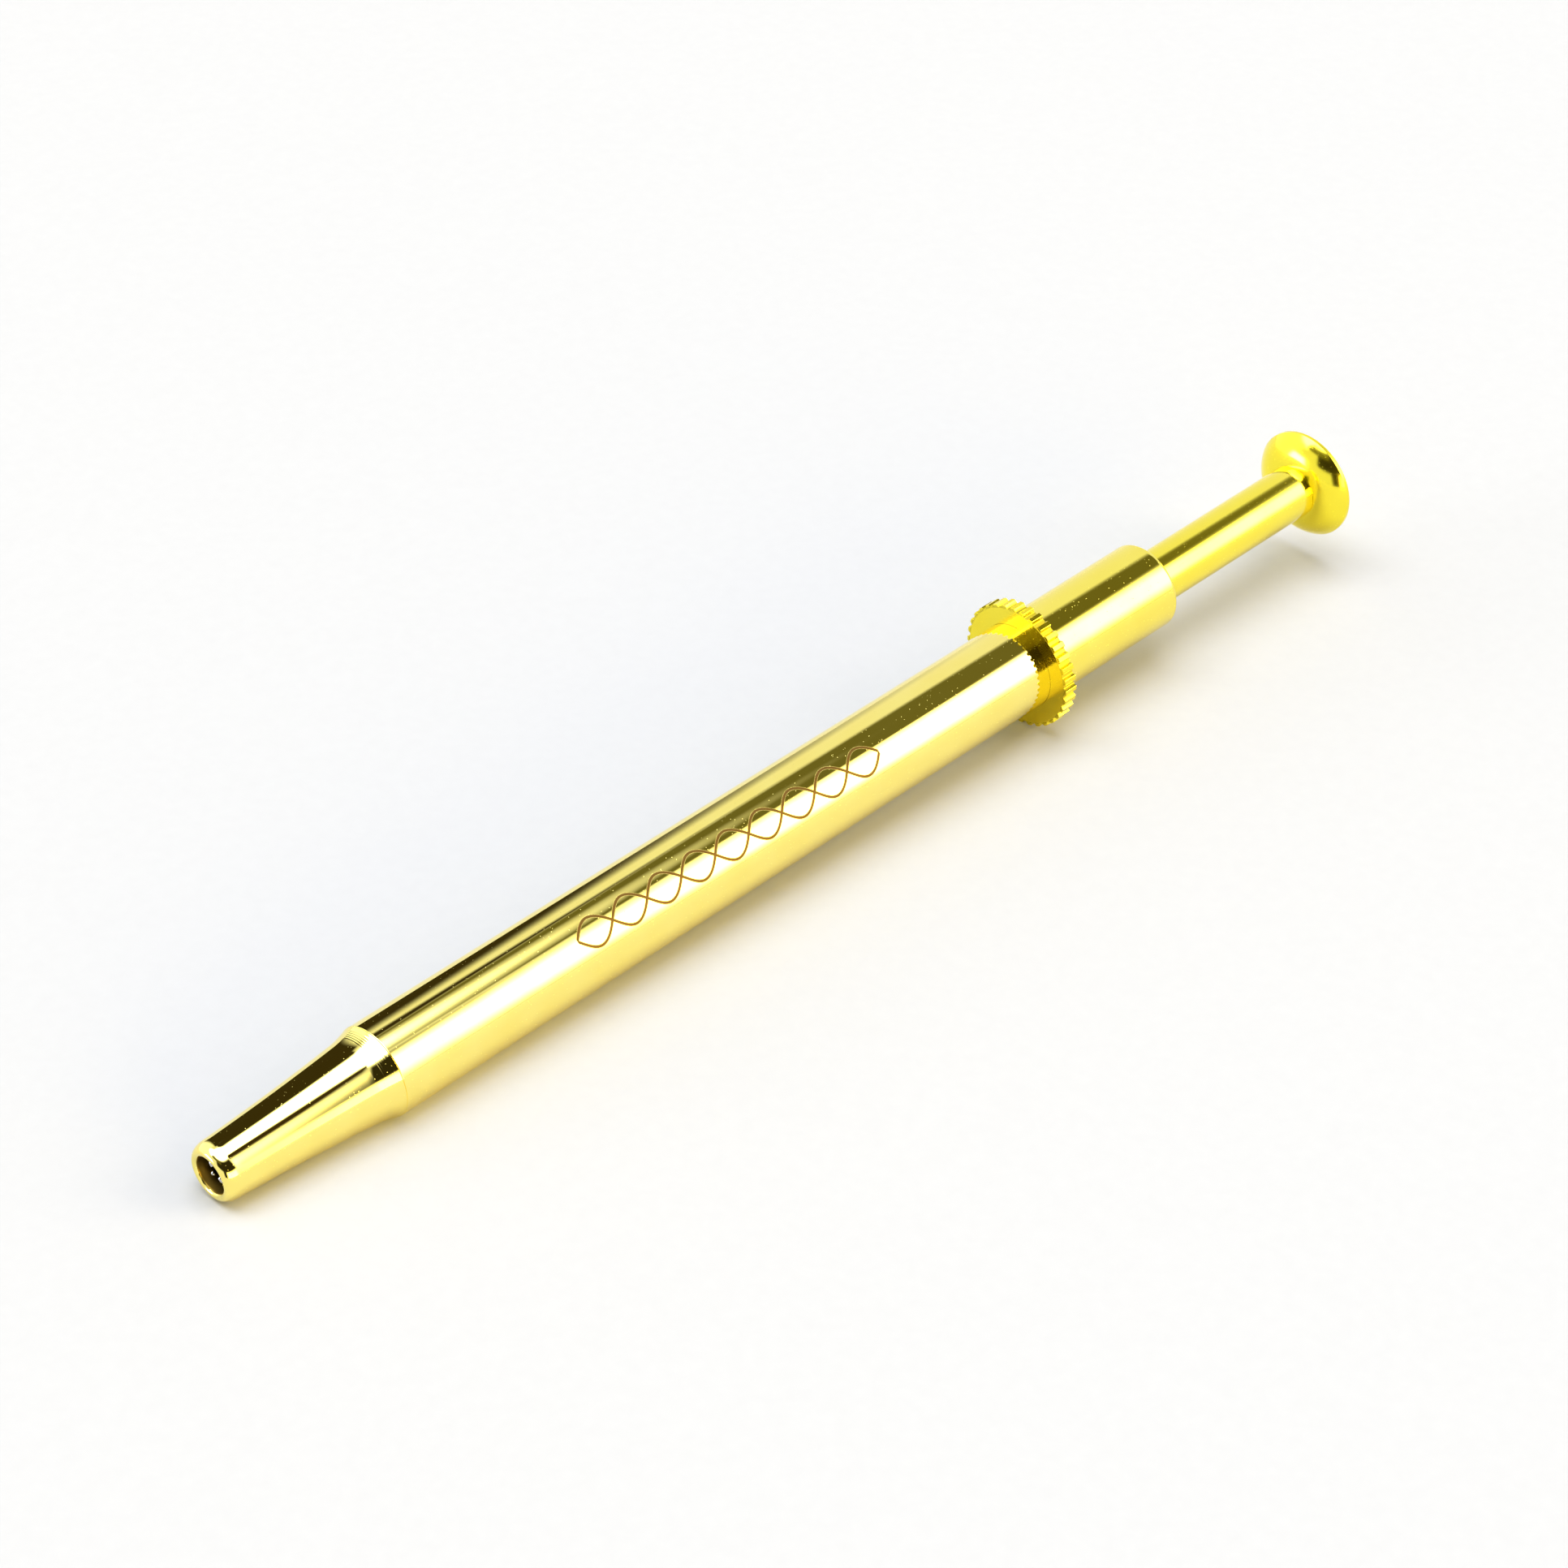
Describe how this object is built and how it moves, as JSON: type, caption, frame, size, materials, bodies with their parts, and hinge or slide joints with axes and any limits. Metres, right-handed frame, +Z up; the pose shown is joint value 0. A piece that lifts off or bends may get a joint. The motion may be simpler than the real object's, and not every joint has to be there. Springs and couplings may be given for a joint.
{
  "type": "claw pick-up tool",
  "caption": "Slim gold-plated pick-up tool: a sprung thumb plunger pushes spreading wire claws out of its tapered nose to grip small stones, pearls or screws.",
  "frame": {"origin": "centre of the nose's mouth, on the tool's axis", "axes": "+X runs along the tool's axis from the mouth to the thumb button, and +Z is up; the tool is round, so up is only a choice"},
  "size_m": [0.1184, 0.0108, 0.0108],
  "materials": {
    "gold_plate": "mirror-polished gold plate over brass",
    "plain_brass": "turned",
    "rod_steel": "ground",
    "spring_steel": "drawn bright wire"
  },
  "bodies": {
    "barrel": {"nose_cone": "gold_plate", "barrel_tube": "gold_plate", "finger_ring": "gold_plate", "rear_sleeve": "gold_plate", "spring_washer": "plain_brass", "return_spring": "spring_steel"},
    "plunger": {"plunger_tube": "gold_plate", "thumb_button": "gold_plate", "stop_plug": "plain_brass", "push_rod": "rod_steel", "spring_collar": "plain_brass", "claw_ferrule": "plain_brass", "claw_root_1": "spring_steel", "claw_root_2": "spring_steel", "claw_root_3": "spring_steel", "claw_root_4": "spring_steel"},
    "claw_1": {"claw_1": "spring_steel"},
    "claw_2": {"claw_2": "spring_steel"},
    "claw_3": {"claw_3": "spring_steel"},
    "claw_4": {"claw_4": "spring_steel"}
  },
  "joints": [
    {"name": "plunger_slide", "type": "slide", "parent": "barrel", "child": "plunger", "axis": [-1, 0, 0], "range_m": [0, 0.015], "stiffness_N_per_m": 190, "springref_m": -0.005, "deforming": ["return_spring"]},
    {"name": "claw_1_spread", "type": "hinge", "parent": "plunger", "child": "claw_1", "pos_m": [0.017, -0.00023, 0.00023], "axis": [0, 0.7071, 0.7071], "range_deg": [0, 11.2]},
    {"name": "claw_2_spread", "type": "hinge", "parent": "plunger", "child": "claw_2", "pos_m": [0.017, -0.00023, -0.00023], "axis": [0, -0.7071, 0.7071], "range_deg": [0, 11.2]},
    {"name": "claw_3_spread", "type": "hinge", "parent": "plunger", "child": "claw_3", "pos_m": [0.017, 0.00023, -0.00023], "axis": [0, -0.7071, -0.7071], "range_deg": [0, 11.2]},
    {"name": "claw_4_spread", "type": "hinge", "parent": "plunger", "child": "claw_4", "pos_m": [0.017, 0.00023, 0.00023], "axis": [0, 0.7071, -0.7071], "range_deg": [0, 11.2]}
  ],
  "couplings": [
    {"joint": "claw_1_spread", "follows": "plunger_slide", "rad_per_m": 12.978},
    {"joint": "claw_2_spread", "follows": "plunger_slide", "rad_per_m": 12.978},
    {"joint": "claw_3_spread", "follows": "plunger_slide", "rad_per_m": 12.978},
    {"joint": "claw_4_spread", "follows": "plunger_slide", "rad_per_m": 12.978}
  ]
}
